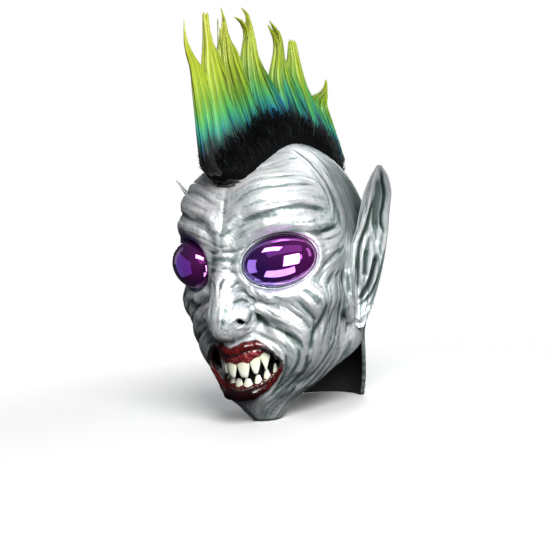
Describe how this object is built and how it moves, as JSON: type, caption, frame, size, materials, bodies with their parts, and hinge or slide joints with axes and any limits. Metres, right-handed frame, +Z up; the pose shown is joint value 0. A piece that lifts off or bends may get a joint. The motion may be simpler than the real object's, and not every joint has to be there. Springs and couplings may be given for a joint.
{
  "type": "costume mask",
  "caption": "Full-head latex monster mask with domed mirrored eyes, fanged open mouth, long pointed flexible ears and a tall dyed hair crest.",
  "frame": {"origin": "centre of the bottom of the bounding box, on the surface that the chin and the nape rim stand on", "axes": "+Z up, the face looks along -Y, +X is the mask's own left side; X = 0 is the plane of symmetry"},
  "size_m": [0.2408, 0.241, 0.3884],
  "materials": {
    "latex": "silver metallic paint on latex, dark wash in the creases",
    "bezel": "bright silver paint, satin",
    "lens": "violet mirror-coated plastic",
    "gum": "wet-look red gloss",
    "teeth": "ivory gloss",
    "cloth": "matt black net",
    "hair_strip": "black webbing",
    "hair_dark": "black fibre",
    "hair_dyed": "fibre dyed black to teal to lime at the tips, stiff with gel"
  },
  "bodies": {
    "head": {"mask_skin": "latex", "left_eye_bezel": "bezel", "right_eye_bezel": "bezel", "left_eye_lens": "lens", "right_eye_lens": "lens", "upper_gum": "gum", "lower_gum": "gum", "mouth_cloth": "cloth", "hair_strip": "hair_strip", "hair_undercoat": "hair_dark", "upper_left_incisor": "teeth", "upper_left_lateral": "teeth", "upper_left_fang": "teeth", "upper_left_molar": "teeth", "upper_right_incisor": "teeth", "upper_right_lateral": "teeth", "upper_right_fang": "teeth", "upper_right_molar": "teeth", "lower_left_incisor": "teeth", "lower_left_lateral": "teeth", "lower_left_canine": "teeth", "lower_left_molar": "teeth", "lower_right_incisor": "teeth", "lower_right_lateral": "teeth", "lower_right_canine": "teeth", "lower_right_molar": "teeth", "hair_tuft_1": "hair_dyed", "hair_tuft_2": "hair_dyed", "hair_tuft_3": "hair_dyed", "hair_tuft_4": "hair_dyed", "hair_tuft_5": "hair_dyed", "hair_tuft_6": "hair_dyed", "hair_tuft_7": "hair_dyed"},
    "left_ear_flap": {"left_ear": "latex"},
    "right_ear_flap": {"right_ear": "latex"}
  },
  "joints": [
    {"name": "left_ear_flex", "type": "hinge", "parent": "head", "child": "left_ear_flap", "pos_m": [0.0785, 0.0118, 0.12], "axis": [0, 0, 1], "range_deg": [-15, 20], "stiffness_Nm_per_rad": 0.05},
    {"name": "right_ear_flex", "type": "hinge", "parent": "head", "child": "right_ear_flap", "pos_m": [-0.0785, 0.0118, 0.12], "axis": [0, 0, -1], "range_deg": [-15, 20], "stiffness_Nm_per_rad": 0.05}
  ]
}
